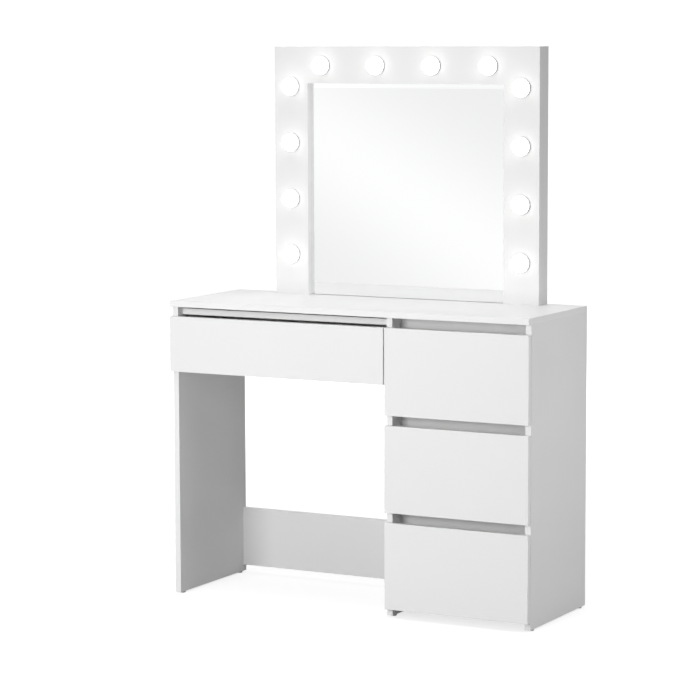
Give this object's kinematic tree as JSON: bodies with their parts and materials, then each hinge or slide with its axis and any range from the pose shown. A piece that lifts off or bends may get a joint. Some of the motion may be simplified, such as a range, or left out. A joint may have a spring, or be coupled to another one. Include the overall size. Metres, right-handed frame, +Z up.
{
  "type": "vanity table with mirror",
  "caption": "White board vanity desk with an open knee space, handle-less drawers on ball slides, and a frame mirror with dome lamps round its glass.",
  "frame": {"origin": "on the floor under the middle of the desk", "axes": "+X to the user's right, -Y towards the user who sits in front, +Z up"},
  "size_m": [1, 0.35, 1.4],
  "materials": {
    "white_board": "satin white melamine on particle board, edges banded in the same white",
    "white_hardboard": "smooth white lacquered hardboard",
    "mirror_glass": "silvered float glass, polished edges",
    "opal_dome": "opal diffusing plastic, lit from inside",
    "lamp_collar": "satin light grey moulded plastic",
    "led_board": "white-masked aluminium LED board",
    "zinc_hardware": "bright zinc plating",
    "slide_steel": "zinc-plated rolled steel",
    "grey_plastic": "grey moulded polyethylene",
    "black_plastic": "fine-textured black moulding",
    "white_switch": "glossy white moulding",
    "driver_case": "white moulded power supply case",
    "wire_insulation": "white insulated lead"
  },
  "bodies": {
    "carcass": {"cabinet_slide_rails": "slide_steel", "cam_fittings": "zinc_hardware", "desktop": "white_board", "foot_glides": "grey_plastic", "knee_space_back_rail": "white_board", "lamp_bases": "lamp_collar", "lamp_domes": "opal_dome", "lamp_led_boards": "led_board", "lamp_nuts": "zinc_hardware", "lamp_wiring": "wire_insulation", "led_driver": "driver_case", "left_bay_back_rail": "white_board", "left_bay_front_rail": "white_board", "left_side_panel": "white_board", "middle_panel": "white_board", "mirror_back_cover": "white_hardboard", "mirror_bottom_rail": "white_board", "mirror_cover_screws": "zinc_hardware", "mirror_fixing_screws": "zinc_hardware", "mirror_front_board": "white_board", "mirror_glass": "mirror_glass", "mirror_left_board": "white_board", "mirror_right_board": "white_board", "mirror_top_board": "white_board", "power_inlet": "black_plastic", "right_bay_back_panel": "white_hardboard", "right_bay_rail_1": "white_board", "right_bay_rail_2": "white_board", "right_bay_rail_3": "white_board", "right_side_panel": "white_board", "switch_housing": "white_switch"},
    "wide_drawer": {"wide_drawer_back": "white_board", "wide_drawer_bottom": "white_hardboard", "wide_drawer_front": "white_board", "wide_drawer_left_side": "white_board", "wide_drawer_right_side": "white_board", "wide_drawer_slide_rails": "slide_steel"},
    "wide_drawer_middle_members": {"wide_drawer_middle_rails": "slide_steel"},
    "upper_drawer": {"upper_drawer_back": "white_board", "upper_drawer_bottom": "white_hardboard", "upper_drawer_front": "white_board", "upper_drawer_left_side": "white_board", "upper_drawer_right_side": "white_board", "upper_drawer_slide_rails": "slide_steel"},
    "upper_drawer_middle_members": {"upper_drawer_middle_rails": "slide_steel"},
    "middle_drawer": {"middle_drawer_back": "white_board", "middle_drawer_bottom": "white_hardboard", "middle_drawer_front": "white_board", "middle_drawer_left_side": "white_board", "middle_drawer_right_side": "white_board", "middle_drawer_slide_rails": "slide_steel"},
    "middle_drawer_middle_members": {"middle_drawer_middle_rails": "slide_steel"},
    "lower_drawer": {"lower_drawer_back": "white_board", "lower_drawer_bottom": "white_hardboard", "lower_drawer_front": "white_board", "lower_drawer_left_side": "white_board", "lower_drawer_right_side": "white_board", "lower_drawer_slide_rails": "slide_steel"},
    "lower_drawer_middle_members": {"lower_drawer_middle_rails": "slide_steel"},
    "rocker": {"switch_rocker": "white_switch"}
  },
  "joints": [
    {"name": "wide_drawer_slide", "type": "slide", "parent": "carcass", "child": "wide_drawer", "axis": [0, -1, 0], "range_m": [0, 0.3]},
    {"name": "wide_drawer_middle_slide", "type": "slide", "parent": "carcass", "child": "wide_drawer_middle_members", "axis": [0, -1, 0], "range_m": [0, 0.15]},
    {"name": "upper_drawer_slide", "type": "slide", "parent": "carcass", "child": "upper_drawer", "axis": [0, -1, 0], "range_m": [0, 0.3]},
    {"name": "upper_drawer_middle_slide", "type": "slide", "parent": "carcass", "child": "upper_drawer_middle_members", "axis": [0, -1, 0], "range_m": [0, 0.15]},
    {"name": "middle_drawer_slide", "type": "slide", "parent": "carcass", "child": "middle_drawer", "axis": [0, -1, 0], "range_m": [0, 0.3]},
    {"name": "middle_drawer_middle_slide", "type": "slide", "parent": "carcass", "child": "middle_drawer_middle_members", "axis": [0, -1, 0], "range_m": [0, 0.15]},
    {"name": "lower_drawer_slide", "type": "slide", "parent": "carcass", "child": "lower_drawer", "axis": [0, -1, 0], "range_m": [0, 0.3]},
    {"name": "lower_drawer_middle_slide", "type": "slide", "parent": "carcass", "child": "lower_drawer_middle_members", "axis": [0, -1, 0], "range_m": [0, 0.15]},
    {"name": "switch_rock", "type": "hinge", "parent": "carcass", "child": "rocker", "pos_m": [-0.358, 0.157, 0.83], "axis": [0, 1, 0], "range_deg": [-16, 0]}
  ],
  "couplings": [
    {"joint": "wide_drawer_middle_slide", "follows": "wide_drawer_slide", "ratio": 0.5},
    {"joint": "upper_drawer_middle_slide", "follows": "upper_drawer_slide", "ratio": 0.5},
    {"joint": "middle_drawer_middle_slide", "follows": "middle_drawer_slide", "ratio": 0.5},
    {"joint": "lower_drawer_middle_slide", "follows": "lower_drawer_slide", "ratio": 0.5}
  ]
}
